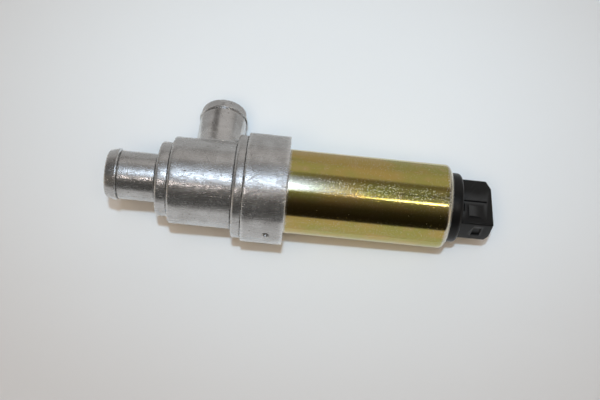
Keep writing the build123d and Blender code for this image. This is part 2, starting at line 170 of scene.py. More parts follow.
class CapSizes(bpy.types.PropertyGroup):
    """Moulded cap with the plug socket"""

    body_radius: length("Body Radius", "Cap inside the can", 15.7)
    boss_radius: length("Boss Radius", "Round boss behind the rim", 14.0)
    boss_round: length("Boss Round", "Rounding of the boss's edge", 1.5)
    socket_width: length("Socket Width", "Broad side of the socket", 21.8)
    socket_height: length("Socket Height", "Narrow side of the socket", 11.4)
    socket_reach: length("Socket Reach", "Socket past the boss", 13.1)
    socket_wall: length("Socket Wall", "Wall at the socket's mouth", 1.7)
    socket_round: length("Socket Round", "Rounding of the socket's long edges", 0.9)
    lip_round: length("Lip Round", "Rounding of the mouth's outer edge", 0.6)
    corner_width: length("Corner Width", "Cut corner of the mouth, across", 4.0)
    corner_drop: length("Corner Drop", "Cut corner of the mouth, along the valve", 2.1)
    heel_width: length("Heel Width", "Cut edge of the mouth, across", 3.2)
    heel_drop: length("Heel Drop", "Cut edge of the mouth, along the valve", 1.6)
    key_width: length("Key Width", "Groove along the broad side", 0.9)
    key_depth: length("Key Depth", "Depth of that groove", 0.9)
    latch_rise: length("Latch Rise", "Height of the plug's catch", 0.9)
    edge_round: length("Edge Round", "Fine rounding of the moulded edges", 0.16)


class CoilSizes(bpy.types.PropertyGroup):
    """Return spring and copper winding"""

    spring_wire: length("Spring Wire", "Wire thickness of the return spring", 0.8)
    spring_radius: length("Spring Radius", "Spring at the middle of its wire", 3.6)
    spring_turns: IntProperty(name="Spring Turns", description="Turns of the spring", default=6, min=2)
    winding_wire: length("Winding Wire", "Wire thickness of the winding", 0.9)


class StageSettings(bpy.types.PropertyGroup):
    """Bench, light and camera"""

    bench_colour: colour("Bench", "Pale bench", (0.84, 0.87, 0.90))
    backdrop_colour: colour("Backdrop", "Seen past the bench", (0.76, 0.76, 0.76))
    target: FloatVectorProperty(
        name="Target",
        description="Point the camera looks at",
        default=(0.00024, -0.01017, 0.017),
        unit="LENGTH",
    )
    azimuth: angle_setting("Azimuth", "Camera round the valve", 18.10)
    elevation: angle_setting("Elevation", "Camera above the bench", 79.85)
    roll: angle_setting("Roll", "Camera about its own axis", -12.91)
    distance: length("Distance", "Camera to target", 351.84)
    lens: FloatProperty(name="Lens", description="Focal length in millimetres", default=51.52)


# Mesh helpers


def rounded(corners, arc_steps=5, longest=1.8 * MM):
    """Closed outline through (radius, height, fillet) corners: arcs at the corners, short steps between."""
    straight = 1e-4
    points = [Vector(corner[:2]) for corner in corners]
    arcs = []
    for index, (point, corner) in enumerate(zip(points, corners)):
        back = (points[index - 1] - point).normalized()
        ahead = (points[(index + 1) % len(points)] - point).normalized()
        turn = pi - back.angle(ahead)
        fillet = corner[2]
        if fillet == 0 or turn < straight:
            arcs.append([point])
            continue
        cut = fillet * tan(turn / 2)
        centre = point + (back + ahead).normalized() * hypot(fillet, cut)
        first = point + back * cut - centre
        last = point + ahead * cut - centre
        arc = []
        for step in range(arc_steps + 1):
            share = step / arc_steps
            arm = first * sin((1 - share) * turn) + last * sin(share * turn)
            arc.append(centre + arm / sin(turn))
        arcs.append(arc)
    outline = []
    for index, arc in enumerate(arcs):
        outline.extend(arc)
        start = arc[-1]
        run = arcs[(index + 1) % len(arcs)][0] - start
        steps = int(run.length / longest) + 1
        outline.extend(start + run * (step / steps) for step in range(1, steps))
    return outline


def taken_from(work, name):
    """Mesh of a bmesh, which is used up."""
    mesh = bpy.data.meshes.new(name)
    work.to_mesh(mesh)
    work.free()
    return mesh


def mesh_of(name, points, faces):
    """Mesh with merged doubles and outward normals."""
    rough = bpy.data.meshes.new(name)
    rough.from_pydata(points, [], faces)
    work = bmesh.new()
    work.from_mesh(rough)
    bpy.data.meshes.remove(rough)
    bmesh.ops.remove_doubles(work, verts=work.verts, dist=1e-7)
    bmesh.ops.recalc_face_normals(work, faces=work.faces)
    return taken_from(work, name)


def band_faces(rows, columns, closed_rows=False):
    """Quads of a grid of points that closes round its columns, and round its rows too if asked."""
    last = rows if closed_rows else rows - 1
    faces = []
    for row in range(last):
        low = row * columns
        high = ((row + 1) % rows) * columns
        for column in range(columns):
            turn = (column + 1) % columns
            faces.append((low + column, low + turn, high + turn, high + column))
    return faces


def lathe(name, outline, segments, closed=True):
    """Mesh of an outline of (radius, height) points turned round the valve's axis."""
    angles = [2 * pi * step / segments for step in range(segments)]
    points = [(r * cos(a), r * sin(a), z) for r, z in outline for a in angles]
    return mesh_of(name, points, band_faces(len(outline), segments, closed))


def evaluated_mesh(subject):
    """Plain mesh of an object with its modifiers."""
    bpy.context.view_layer.update()
    graph = bpy.context.evaluated_depsgraph_get()
    return bpy.data.meshes.new_from_object(subject.evaluated_get(graph))


def modified(mesh, kind, **settings):
    """Mesh after one modifier; the mesh given is used up."""
    subject = bpy.data.objects.new("subject", mesh)
    bpy.context.scene.collection.objects.link(subject)
    modifier = subject.modifiers.new(kind.title(), kind)
    for name, value in settings.items():
        setattr(modifier, name, value)
    made = evaluated_mesh(subject)
    bpy.data.objects.remove(subject)
    bpy.data.meshes.remove(mesh)
    return made


def combined(mesh, tool, operation):
    """Mesh after an exact boolean with a tool mesh; both are used up."""
    other = bpy.data.objects.new("tool", tool)
    bpy.context.scene.collection.objects.link(other)
    made = modified(mesh, "BOOLEAN", operation=operation, solver="EXACT", object=other)
    bpy.data.objects.remove(other)
    bpy.data.meshes.remove(tool)
    return made


def bevelled(mesh, width):
    """Mesh with its sharp edges rounded."""
    return modified(mesh, "BEVEL", width=width, segments=2, limit_method="ANGLE", angle_limit=radians(38))


def joined(mesh, other):
    """Mesh that holds the faces of two meshes; both are used up."""
    work = bmesh.new()
    for used in (mesh, other):
        work.from_mesh(used)
        bpy.data.meshes.remove(used)
    return taken_from(work, "joined")


def values_of(items, name, width, kind=float):
    """One property of all vertices or edges of a mesh, a row for each."""
    values = np.empty(len(items) * width, kind)
    items.foreach_get(name, values)
    return values.reshape(-1, width)


def mark_edges(mesh, scale=0.45 * MM):
    """Stores how convex (lighter, for wear and a painted highlight) and how concave (painted shade) the surface is
    at each vertex.
    """
    shortest = 0.05 * MM
    places = values_of(mesh.vertices, "co", 3)
    normals = values_of(mesh.vertices, "normal", 3)
    first, second = values_of(mesh.edges, "vertices", 2, int).T
    gap = places[second] - places[first]
    bend = ((normals[second] - normals[first]) * gap).sum(1)
    bend /= np.maximum((gap * gap).sum(1), shortest ** 2)
    # Convex edges get wear and a painted highlight, concave creases get painted shade.
    for name, outward in (("wear_and_highlight", bend), ("painted_shade", -bend)):
        strongest = np.zeros(len(places))
        for end in (first, second):
            np.maximum.at(strongest, end, np.maximum(outward, 0))
        layer = mesh.attributes.new(name, "FLOAT", "POINT")
        layer.data.foreach_set("value", np.clip(strongest * scale, 0, 1).astype(np.float32))


def mark_grain(mesh):
    """Stores the direction in which the turned surface smears a highlight."""
    layer = mesh.attributes.new("grain", "FLOAT_VECTOR", "POINT")
    layer.data.foreach_set("vector", np.tile(np.array(AXIS, np.float32), len(mesh.vertices)))


def piece(name, mesh, material, node, body="housing", sharp=radians(32)):
    """Object in the row's frame from a mesh in the valve's frame, which stands for a CAD node."""
    mesh.transform(VALVE)
    mesh.polygons.foreach_set("use_smooth", [True] * len(mesh.polygons))
    mesh.set_sharp_from_angle(angle=sharp)
    mesh.materials.clear()
    mesh.materials.append(material)
    made = bpy.data.objects.new(name, mesh)
    bpy.context.scene.collection.objects.link(made)
    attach(made, body)
    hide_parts(node)
    return made


# Node helpers


class Nodes:
    """Short ways to add nodes to a node tree."""

    def __init__(self, tree):
        self.tree = tree
        tree.nodes.clear()

    def add(self, kind, inputs=None, **settings):
        node = self.tree.nodes.new(kind)
        for name, value in settings.items():
            setattr(node, name, value)
        self.fill(node, inputs or {})
        return node

    def fill(self, node, inputs):
        """Sets or links the inputs of a node, by name or number; a colour may lack its alpha."""
        for key, value in inputs.items():
            socket = node.inputs[key]
            if isinstance(value, bpy.types.NodeSocket):
                self.tree.links.new(value, socket)
            elif socket.type == "RGBA" and len(value) == 3:
                socket.default_value = (*value, 1.0)
            else:
                socket.default_value = value

    def vector(self, operation, *values, **inputs):
        filled = {**dict(enumerate(values)), **inputs}
        return self.add("ShaderNodeVectorMath", filled, operation=operation).outputs[0]

    def math(self, operation, *values):
        return self.add("ShaderNodeMath", dict(enumerate(values)), operation=operation).outputs[0]

    def times(self, first, second):
        return self.math("MULTIPLY", first, second)

    def plus(self, first, second):
        return self.math("ADD", first, second)

    def blend(self, factor, first, second):
        """Colour between two others."""
        return self.add("ShaderNodeMix", {0: factor, 6: first, 7: second}, data_type="RGBA").outputs[2]


class Finish(Nodes):
    """A node material with one Principled shader, and the textures that its finishes share."""

    def __init__(self, name):
        self.material = bpy.data.materials.new(name)
        self.material.use_nodes = True
        super().__init__(self.material.node_tree)
        self.shader = self.add("ShaderNodeBsdfPrincipled")
        self.add("ShaderNodeOutputMaterial", {0: self.shader.outputs[0]})

    def shade(self, **inputs):
        """Sets the shader's inputs, given by their names with underscores."""
        names = {socket.name.replace(" ", "_").lower(): socket.name for socket in self.shader.inputs}
        self.fill(self.shader, {names[name]: value for name, value in inputs.items()})

    def place(self):
        """Coordinates in the valve's frame, in millimetres."""
        to_valve = VALVE.inverted()
        coordinates = self.add("ShaderNodeTexCoord").outputs["Object"]
        turned = self.add(
            "ShaderNodeMapping",
            {"Vector": coordinates, "Location": to_valve.to_translation(), "Rotation": to_valve.to_euler()},
        )
        return self.vector("SCALE", turned.outputs[0], Scale=1 / MM)

    def noise(self, place, scale, detail=2.0, roughness=0.5):
        made = self.add(
            "ShaderNodeTexNoise", {"Vector": place, "Scale": scale, "Detail": detail, "Roughness": roughness}
        )
        return made.outputs[0]

    def span(self, value, low, high, to_low=0.0, to_high=1.0):
        """Value stretched from one range to another, and held there."""
        made = self.add(
            "ShaderNodeMapRange",
            {"Value": value, "From Min": low, "From Max": high, "To Min": to_low, "To Max": to_high},
            interpolation_type="SMOOTHSTEP",
        )
        return made.outputs[0]

    def attribute(self, name, output="Fac"):
        return self.add("ShaderNodeAttribute", attribute_name=name).outputs[output]

    def bump(self, height, distance, normal=None):
        """Normal raised by a height of 0 to 1 times a distance in millimetres."""
        inputs = {"Height": height, "Distance": distance * MM, "Strength": 1.0}
        if normal is not None:
            inputs["Normal"] = normal
        return self.add("ShaderNodeBump", inputs).outputs[0]

    def scratches(self, place, turn, scale, level):
        """Thin straight marks, 0 to 1, that run in the turned direction."""
        turned = self.add("ShaderNodeVectorRotate", {"Vector": place, "Angle": turn}, rotation_type="X_AXIS")
        drawn = self.vector("MULTIPLY", turned.outputs[0], (scale, scale, scale * 0.09))
        return self.span(self.noise(drawn, 1.0, 1.0), level, level + 0.06)

    def pits(self, place, scale, size, share):
        """Small round hollows, 0 to 1, in a share of the cells of a grid."""
        cells = self.add("ShaderNodeTexVoronoi", {"Vector": place, "Scale": scale})
        hollow = self.span(cells.outputs["Distance"], size, size * 0.4)
        lot = self.add("ShaderNodeSeparateColor", {0: cells.outputs["Color"]}).outputs[0]
        return self.times(hollow, self.math("LESS_THAN", lot, share))


# Finishes


def turned_aluminium_finish(name, smooth_side):
    """Scuffed grey aluminium: grain, nicks and scratches, painted shade in the creases and steps, edges lighter
    from wear and a painted highlight, but smoother out on the side nipple.
    """
    made = Finish(name)
    place = made.place()
    split = made.add("ShaderNodeSeparateXYZ", {0: place})
    smooth = made.span(split.outputs[1], smooth_side - 1.0, smooth_side + 1.0)
    rugged = made.math("SUBTRACT", 1.0, made.times(smooth, 0.75))
    strokes = made.noise(made.vector("MULTIPLY", place, (0.9, 0.9, 0.16)), 1.0, 3.0, 0.6)
    turning = made.noise(made.vector("MULTIPLY", place, (0.10, 0.10, 2.2)), 1.0, 2.0)
    waves = made.noise(place, 0.3, 2.0)
    blotches = made.noise(place, 0.16, 3.0)
    grain = made.noise(place, 1.6, 4.0, 0.65)
    specks = made.span(made.noise(place, 2.2, 2.0, 0.65), 0.57, 0.66)
    first = made.scratches(place, radians(24), 1.2, 0.66)
    second = made.scratches(place, radians(-63), 0.9, 0.68)
    marks = made.math("MAXIMUM", first, second)
    pits = made.pits(place, 0.42, 0.2, 0.25)
    # Painted shade in the creases and tool reliefs, made patchy by noise.
    patchy_shade = made.plus(made.attribute("painted_shade"), made.span(grain, 0.25, 0.75, -0.3, 0.3))
    painted_shade = made.span(made.plus(patchy_shade, made.span(waves, 0.3, 0.7, -0.25, 0.15)), 0.4, 1.0)
    wear_and_highlight = made.span(made.attribute("wear_and_highlight"), 0.15, 0.9)
    base = made.blend(made.span(blotches, 0.3, 0.7), (0.52, 0.51, 0.50), (0.64, 0.635, 0.63))
    base = made.blend(made.times(pits, 0.6), base, (0.16, 0.14, 0.12))
    # Convex edges lighter: partly wear, partly a painted highlight.
    base = made.blend(made.times(wear_and_highlight, 0.7), base, (0.84, 0.84, 0.83))
    # Creases and tool reliefs darkened: painted shade.
    base = made.blend(made.times(painted_shade, 0.75), base, (0.05, 0.046, 0.042))
    rough = made.span(strokes, 0.25, 0.75, 0.23, 0.30)
    rough = made.math("SUBTRACT", rough, made.times(smooth, 0.06))
    rough = made.plus(rough, made.times(made.plus(painted_shade, marks), 0.12))
    relief = made.bump(made.times(waves, rugged), 0.09)
    for height, depth in (
        (strokes, 0.018),
        (turning, 0.005),
        (grain, 0.016),
        (specks, -0.016),
        (marks, -0.02),
        (pits, -0.06),
    ):
        relief = made.bump(made.times(height, rugged), depth, relief)
    made.shade(base_color=base, metallic=0.92, roughness=rough, anisotropic=0.4)
    made.shade(tangent=made.attribute("grain", "Vector"), normal=relief)
    return made.material


def gold_zinc_finish(name, rubbed_side):
    """Yellow passivated zinc: gold with olive and rose clouds, rubbed grey and sandy in a strip along one side,
    with bright dots painted into that strip as glints, lighter rim edges from wear and a painted highlight, and
    painted shade in the creases.
    """
    made = Finish(name)
    place = made.place()
    clouds = made.noise(made.vector("MULTIPLY", place, (1.0, 1.0, 0.5)), 0.10, 2.0)
    tint = made.noise(place, 0.2, 2.0)
    film = made.blend(made.span(clouds, 0.35, 0.65), (0.58, 0.42, 0.13), (0.47, 0.43, 0.12))
    film = made.blend(made.span(tint, 0.5, 0.8, 0.0, 0.6), film, (0.63, 0.45, 0.22))
    split = made.add("ShaderNodeSeparateXYZ", {0: place})
    around = made.math("ARCTAN2", split.outputs[1], split.outputs[0])
    off = made.math("ABSOLUTE", made.math("SUBTRACT", around, rubbed_side))
    strip_edge, strip_core = 0.22, 0.12
    strip = made.span(off, strip_edge, strip_core)
    collar_end, bright_start = 76.0, 102.0
    near_collar = made.span(split.outputs[2], bright_start, collar_end)
    fine = made.pits(place, 1.9, 0.42, 0.65)
    patches = made.noise(made.vector("MULTIPLY", place, (1.0, 1.0, 0.4)), 0.3, 3.0)
    sand = made.times(strip, made.span(patches, 0.3, 0.6, 0.35, 1.0))
    wear_and_highlight = made.plus(made.attribute("wear_and_highlight"), made.times(fine, 0.25))
    wear_and_highlight = made.span(wear_and_highlight, 0.14, 0.36)
    dull = made.times(made.times(strip, near_collar), 0.8)
    base = made.blend(dull, film, (0.52, 0.505, 0.455))
    # Bright dots painted into the colour of the rubbed strip stand for glints.
    specks = made.times(fine, sand)
    base = made.blend(specks, base, (0.98, 0.93, 0.74))
    # Lighter edges: rim wear and a painted highlight.
    base = made.blend(wear_and_highlight, base, (0.74, 0.71, 0.64))
    # Darker creases, such as the gap at the collar: painted shade.
    painted_shade = made.span(made.attribute("painted_shade"), 0.5, 1.0)
    base = made.blend(painted_shade, base, (0.06, 0.05, 0.03))
    first = made.scratches(place, radians(78), 1.3, 0.7)
    second = made.scratches(place, radians(35), 1.0, 0.72)
    marks = made.math("MAXIMUM", first, second)
    rough = made.plus(made.times(specks, 0.2), 0.14)
    rough = made.plus(rough, made.times(made.plus(wear_and_highlight, marks), 0.12))
    relief = made.bump(made.times(fine, made.span(sand, 0.0, 1.0, 0.012, 1.0)), 0.045)
    relief = made.bump(marks, -0.008, relief)
    made.shade(base_color=base, metallic=1.0, roughness=rough, anisotropic=0.5)
    made.shade(tangent=made.attribute("grain", "Vector"), normal=relief)
    return made.material


def moulding_finish(name, dark, light, roughness):
    """Matt moulding: fine grain, faint flow clouds, edges lighter from rubbing and a painted highlight."""
    made = Finish(name)
    place = made.place()
    clouds = made.noise(place, 0.25, 3.0)
    grain = made.noise(place, 5.0, 2.0)
    wear_and_highlight = made.plus(made.attribute("wear_and_highlight"), made.times(clouds, 0.25))
    wear_and_highlight = made.span(wear_and_highlight, 0.35, 1.0)
    rubbed = tuple(6.0 * value for value in light)
    scratched = tuple(2.2 * value for value in light)
    marks = made.scratches(place, radians(50), 1.2, 0.68)
    base = made.blend(made.times(clouds, 0.5), dark, light)
    # Lighter edges: wear and a painted highlight.
    base = made.blend(made.times(wear_and_highlight, 0.6), base, rubbed)
    base = made.blend(made.times(marks, 0.4), base, scratched)
    rough = made.span(grain, 0.2, 0.8, roughness - 0.08, roughness + 0.08)
    made.shade(base_color=base, roughness=rough, specular_ior_level=0.3)
    made.shade(normal=made.bump(grain, 0.012))
    return made.material


def machined_finish(name, dark, light, roughness):
    """Plain machined metal of an inner piece: tool marks round the axis and a little tarnish."""
    made = Finish(name)
    place = made.place()
    streaks = made.noise(made.vector("MULTIPLY", place, (0.2, 0.2, 5.0)), 1.0, 3.0, 0.6)
    tarnish = made.noise(place, 0.4, 3.0)
    rough = made.span(streaks, 0.25, 0.75, roughness - 0.07, roughness + 0.09)
    made.shade(base_color=made.blend(tarnish, dark, light), metallic=1.0, roughness=rough)
    made.shade(normal=made.bump(streaks, 0.01))
    return made.material


def film_finish(name):
    """Amber insulating film wound over the coil: overlapping turns of tape."""
    made = Finish(name)
    place = made.place()
    split = made.add("ShaderNodeSeparateXYZ", {0: place})
    turns = made.math("FRACT", made.times(split.outputs[2], 0.11))
    base = made.blend(made.noise(place, 0.5), (0.55, 0.33, 0.04), (0.68, 0.47, 0.09))
    made.shade(base_color=made.blend(made.span(turns, 0.0, 0.12, 0.35, 0.0), base, (0.25, 0.13, 0.02)))
    made.shade(roughness=0.22, normal=made.bump(turns, 0.04))
    return made.material


def bench_finish(name, bench_colour):
    """Pale paper-like bench with painted light: darker and warmer away from the middle as painted shade where lamp
    light falls off, and glowing of its own far out.
    """
    made = Finish(name)
    coordinates = made.add("ShaderNodeTexCoord").outputs["Object"]
    centred = made.vector("SUBTRACT", coordinates, (0.0, 0.04, 0.0))
    scaled = made.vector("MULTIPLY", centred, (7.7, 11.1, 0.0))
    away = made.add("ShaderNodeVectorMath", {0: scaled}, operation="LENGTH").outputs["Value"]
    grain = made.noise(coordinates, 900.0, 2.0)
    pale = tuple(bench_colour)
    # Painted shade: the colour darkens and warms away from the middle.
    edge = tuple(value * share for value, share in zip(pale, (0.72, 0.67, 0.64)))
    made.shade(base_color=made.blend(made.span(away, 0.3, 2.0), pale, edge))
    # Painted light: the bench glows of its own far out.
    made.shade(emission_color=pale, emission_strength=made.span(away, 1.65, 3.4, 0.0, 0.36))
    made.shade(roughness=made.span(grain, 0.2, 0.8, 0.7, 0.9), specular_ior_level=0.2)
    return made.material


def card_finish(name, shade):
    """Card that glows evenly in a grey shade: a painted reflection."""
    made = Finish(name)
    made.shade(base_color=(0.0, 0.0, 0.0), specular_ior_level=0.0)
    made.shade(emission_color=shade, emission_strength=1.0)
    return made.material


# Shapes


def nipple_corners(sizes, tube, bead):
    """Outside of a hose nipple from its tip at height 0 to behind its bead."""
    crest = sizes.bead_rise + sizes.bead_land
    root = crest + sizes.bead_step
    behind_tip = tube - sizes.tip_inset
    slope = (bead - behind_tip) / (sizes.bead_rise - sizes.tip_length)
    return [
        (behind_tip - slope * sizes.tip_length, 0, 1.0 * MM),
        (bead, sizes.bead_rise, 0.5 * MM),
        (bead, crest, 0.15 * MM),
        (tube - sizes.groove, root, 0.1 * MM),
        (tube, root + 2.0 * sizes.groove, 0.2 * MM),
    ]


def casting_steps(sizes):
    """Radius in front of each step of the casting, the step's place and the width of its tool relief."""
    width = sizes.groove_width
    return (
        (sizes.inlet_tube, sizes.shoulder_start, 1.9 * width),
        (sizes.shoulder_radius, sizes.barrel_start, 1.1 * width),
        (sizes.barrel_radius, sizes.ring_start, width),
        (sizes.ring_radius, sizes.collar_start, 0.8 * width),
    )


def step_corners(sizes, number):
    """Outline of the tool relief in front of one step."""
    radius, place, width = casting_steps(sizes)[number]
    low = radius - sizes.groove
    start = place - width
    return [(radius, start, 0.1 * MM), (low, start + sizes.groove, 0.1 * MM), (low, place, 0.1 * MM)]


def casting_outline(sizes):
    """Half section of the casting without its side nipple."""
    bore = mount_radius("axial_bore")
    end = COLLAR_END - TIP
    floor = sizes.seat_start - sizes.seat_height
    corners = [(bore, 0, 0.45 * MM)] + nipple_corners(sizes, sizes.inlet_tube, mount_radius("axial_nipple"))
    corners += [
        *step_corners(sizes, 0),
        (sizes.shoulder_radius, sizes.shoulder_start, 1.1 * MM),
        *step_corners(sizes, 1),
        (sizes.barrel_radius, sizes.barrel_start, 1.1 * MM),
        *step_corners(sizes, 2),
        (sizes.ring_radius, sizes.ring_start, 1.2 * MM),
        *step_corners(sizes, 3),
        (sizes.collar_radius, sizes.collar_start, 0.5 * MM),
        (sizes.collar_radius, end, 0.4 * MM),
        (sizes.seat_bore_radius, end, 0.4 * MM),
        (sizes.seat_bore_radius, sizes.chamber_end, 0),
        (sizes.chamber_radius, sizes.chamber_end, 0.3 * MM),
        (sizes.chamber_radius, floor, 1.0 * MM),
        (sizes.orifice_radius + sizes.seat_width, floor, 0.3 * MM),
        (sizes.orifice_radius + sizes.seat_width, sizes.seat_start, 0.25 * MM),
        (sizes.orifice_radius, sizes.seat_start, 0.25 * MM),
        (sizes.orifice_radius, sizes.shoulder_start + bore - sizes.orifice_radius, 0.5 * MM),
        (bore, sizes.shoulder_start, 0.8 * MM),
    ]
    return rounded(corners)


def casting_surface(sizes, x, z):
    """Height of the casting's outside, towards the side nipple, over a point of its length."""
    half_step = 0.7 * MM
    share = min(max((z - sizes.ring_start) / half_step * 0.5 + 0.5, 0), 1)
    eased = share * share * (3 - 2 * share)
    radius = sizes.barrel_radius + (sizes.ring_radius - sizes.barrel_radius) * eased
    return sqrt(radius ** 2 - x ** 2)


def side_nipple_mesh(sizes, tip, height):
    """Closed solid of the side nipple, whose foot flares into the casting and ends inside its wall."""
    segments = sizes.segments
    tube = sizes.side_tube
    fillet = sizes.foot_fillet
    root = 0.5 * (sizes.barrel_radius + sizes.chamber_radius)
    stem_end = 8 * MM
    tolerance = 1e-6
    skirt, sink = 0.25 * MM, 0.12 * MM
    corners = nipple_corners(sizes, tube, mount_radius("side_nipple"))
    outline = rounded([(0, 0, 0), *corners, (tube, stem_end, 0), (0, stem_end, 0)])
    stem = [(r, tip - depth) for r, depth in outline if r > tolerance and depth < stem_end - tolerance]
    stem_steps = 8
    foot_steps = 7
    angles = [2 * pi * step / segments for step in range(segments)]
    columns = []
    for angle in angles:
        def over(r):
            return casting_surface(sizes, r * cos(angle), height + r * sin(angle))

        inner = Vector((tube, over(tube) + fillet))
        corner = Vector((tube, over(tube)))
        outer = Vector((tube + fillet, over(tube + fillet)))
        top = Vector(stem[-1])
        column = [Vector(point) for point in stem]
        column += [top + (inner - top) * (step / stem_steps) for step in range(1, stem_steps)]
        for step in range(foot_steps + 1):
            share = step / foot_steps
            column.append(inner * (1 - share) ** 2 + corner * (2 * share * (1 - share)) + outer * share ** 2)
        sunk = outer.x + skirt
        column.append(Vector((sunk, over(sunk) - sink)))
        column.append(Vector((sunk, sqrt(root ** 2 - (sunk * cos(angle)) ** 2))))
        columns.append(column)
    points = []
    for row in zip(*columns):
        points.extend((r * cos(angle), y, height + r * sin(angle)) for (r, y), angle in zip(row, angles))
    rows = len(columns[0])
    faces = band_faces(rows, segments)
    for start, y in ((0, tip), ((rows - 1) * segments, root)):
        points.append((0, y, height))
        hub = len(points) - 1
        faces.extend((start + step, start + (step + 1) % segments, hub) for step in range(segments))
    return mesh_of("side_nipple", points, faces)


def side_bore_mesh(sizes, tip, height):
    """Cutter for the side nipple's bore, with its mouth rounded off."""
    bore = mount_radius("side_bore")
    flare = 0.45 * MM
    above = 1 * MM
    end = 4 * MM - tip
    outline = [(0, above), (bore + flare, above)]
    mouth_steps = 6
    for step in range(mouth_steps + 1):
        angle = pi / 2 * step / mouth_steps
        outline.append((bore + flare * (1 - sin(angle)), -flare * (1 - cos(angle))))
    outline += [(bore, end), (0, end)]
    mesh = lathe("side_bore", outline, sizes.segments, closed=False)
    to_side = Matrix.Translation((0, tip, height)) @ Matrix.Rotation(-pi / 2, 4, "X")
    mesh.transform(to_side)
    return mesh


def stake_mesh(sizes):
    """Cutter for the staking dimple opposite the side nipple."""
    work = bmesh.new()
    bmesh.ops.create_cone(
        work,
        cap_ends=True,
        segments=32,
        radius1=0.35 * sizes.stake_radius,
        radius2=1.35 * sizes.stake_radius,
        depth=2 * sizes.stake_depth,
    )
    mesh = taken_from(work, "stake")
    place = Matrix.Translation((0, -sizes.collar_radius, sizes.stake_place))
    mesh.transform(place @ Matrix.Rotation(pi / 2, 4, "X"))
    return mesh


def mark_casting(mesh, sizes, height):
    """Sets the painted shade of the dimple and the tool reliefs, and a painted highlight along the side nipple's
    foot fillet.
    """
    stake = Vector((0, -sizes.collar_radius, sizes.stake_place))
    steps = casting_steps(sizes)
    foot_start, foot_end = 0.4 * sizes.barrel_radius, 1.25 * sizes.barrel_radius
    # Painted shade in the dimple and tool reliefs; painted highlight on the foot fillet.
    stake_shade, relief_shade = 0.62, 0.9
    foot_highlight = 0.5
    nipple_share = 0.6
    painted_shade = mesh.attributes["painted_shade"].data
    wear_and_highlight = mesh.attributes["wear_and_highlight"].data
    for index, vertex in enumerate(mesh.vertices):
        x, y, z = vertex.co
        if (vertex.co - stake).length < 1.05 * sizes.stake_radius:
            painted_shade[index].value = stake_shade
        for radius, step, width in steps:
            if step - width < z < step and hypot(x, y) < radius - 0.5 * sizes.groove:
                painted_shade[index].value = relief_shade
        away = hypot(x, z - height) - sizes.side_tube
        if abs(away) < 1.6 * sizes.foot_fillet and foot_start < y < foot_end:
            painted_shade[index].value = 0.0
            wear_and_highlight[index].value = foot_highlight
        elif y > foot_end:
            painted_shade[index].value *= nipple_share


def can_outline(sizes):
    """Half section of the can."""
    radius = mount_radius("can_band")
    seat_end = COLLAR_END - TIP
    front = station("solenoid_can", 0)
    edge = station("solenoid_can", 1)
    tilt = sizes.rim_tilt
    bend = edge - sizes.rim_width / tan(tilt)
    lean = Vector((cos(tilt), sin(tilt))) * sizes.wall
    inner_bend = bend - sizes.wall * tan(tilt / 2)
    corners = [
        (sizes.nose_bore, front, 0.2 * MM),
        (sizes.seat_radius, front, 0.3 * MM),
        (sizes.seat_radius, seat_end, 0),
        (radius, seat_end, 0.05 * MM),
        (radius, bend, sizes.rim_corner),
        (radius - sizes.rim_width, edge, sizes.rim_edge),
        (radius - sizes.rim_width - lean.x, edge - lean.y, sizes.rim_edge),
        (radius - sizes.wall, inner_bend, 0.3 * MM),
        (radius - sizes.wall, front + sizes.front, 0.3 * MM),
        (sizes.nose_bore, front + sizes.front, 0.2 * MM),
    ]
    return rounded(corners, arc_steps=7)


def socket_ring(half, kink, fillet, z, steps=6):
    """One closed ring of points round a rounded rectangle, with a point on each side at the kinks."""
    side_points = ((kink.x, half.y), (-half.x, kink.y), (kink.x, -half.y), (half.x, kink.y))
    ring = []
    for quarter, (sx, sy) in enumerate(((1, 1), (-1, 1), (-1, -1), (1, -1))):
        middle = Vector((sx * (half.x - fillet), sy * (half.y - fillet)))
        for step in range(steps + 1):
            angle = pi / 2 * (quarter + step / steps)
            ring.append((middle.x + fillet * cos(angle), middle.y + fillet * sin(angle), z))
        ring.append((*side_points[quarter], z))
    return ring


def socket_mesh(sizes, root, mouth):
    """Plug socket: a hollow rounded block whose mouth is cut away along two sides."""
    lip, wall = sizes.lip_round, sizes.socket_wall
    draft = 0.1 * MM
    inner_round = 0.35 * MM
    cut_depth = 6 * MM
    half = Vector((sizes.socket_height / 2, sizes.socket_width / 2))
    kink = half - Vector((sizes.heel_width, sizes.corner_width))
    floor = root + 1.0 * MM
    outer_steps, lip_steps, inner_steps = 6, 5, 5
    levels = [(0, root + (mouth - lip - root) * step / outer_steps) for step in range(outer_steps + 1)]
    for step in range(1, lip_steps + 1):
        angle = pi / 2 * step / lip_steps
        levels.append((lip * (1 - cos(angle)), mouth - lip * (1 - sin(angle))))
    levels += [(wall - inner_round, mouth), (wall - draft, mouth - draft)]
    for step in range(inner_steps + 1):
        share = step / inner_steps
        levels.append((wall + draft * share, mouth - inner_round - (mouth - floor) * share))
    points = []
    for inset, height in levels:
        fillet = max(sizes.socket_round - inset, 0.25 * MM)
        ring = socket_ring(half - Vector((inset, inset)), kink, fillet, height)
        depth = min(max((height - mouth + cut_depth) / cut_depth, 0), 1)
        for x, y, z in ring:
            heel = max(x - kink.x, 0) / sizes.heel_width * sizes.heel_drop
            corner = max(y - kink.y, 0) / sizes.corner_width * sizes.corner_drop
            points.append((x, y, z - max(heel, corner) * depth))
    columns = len(ring)
    faces = band_faces(len(levels), columns)
    faces.append(tuple(range(columns)))
    faces.append(tuple(range((len(levels) - 1) * columns, len(levels) * columns)))
    return mesh_of("socket", points, faces)


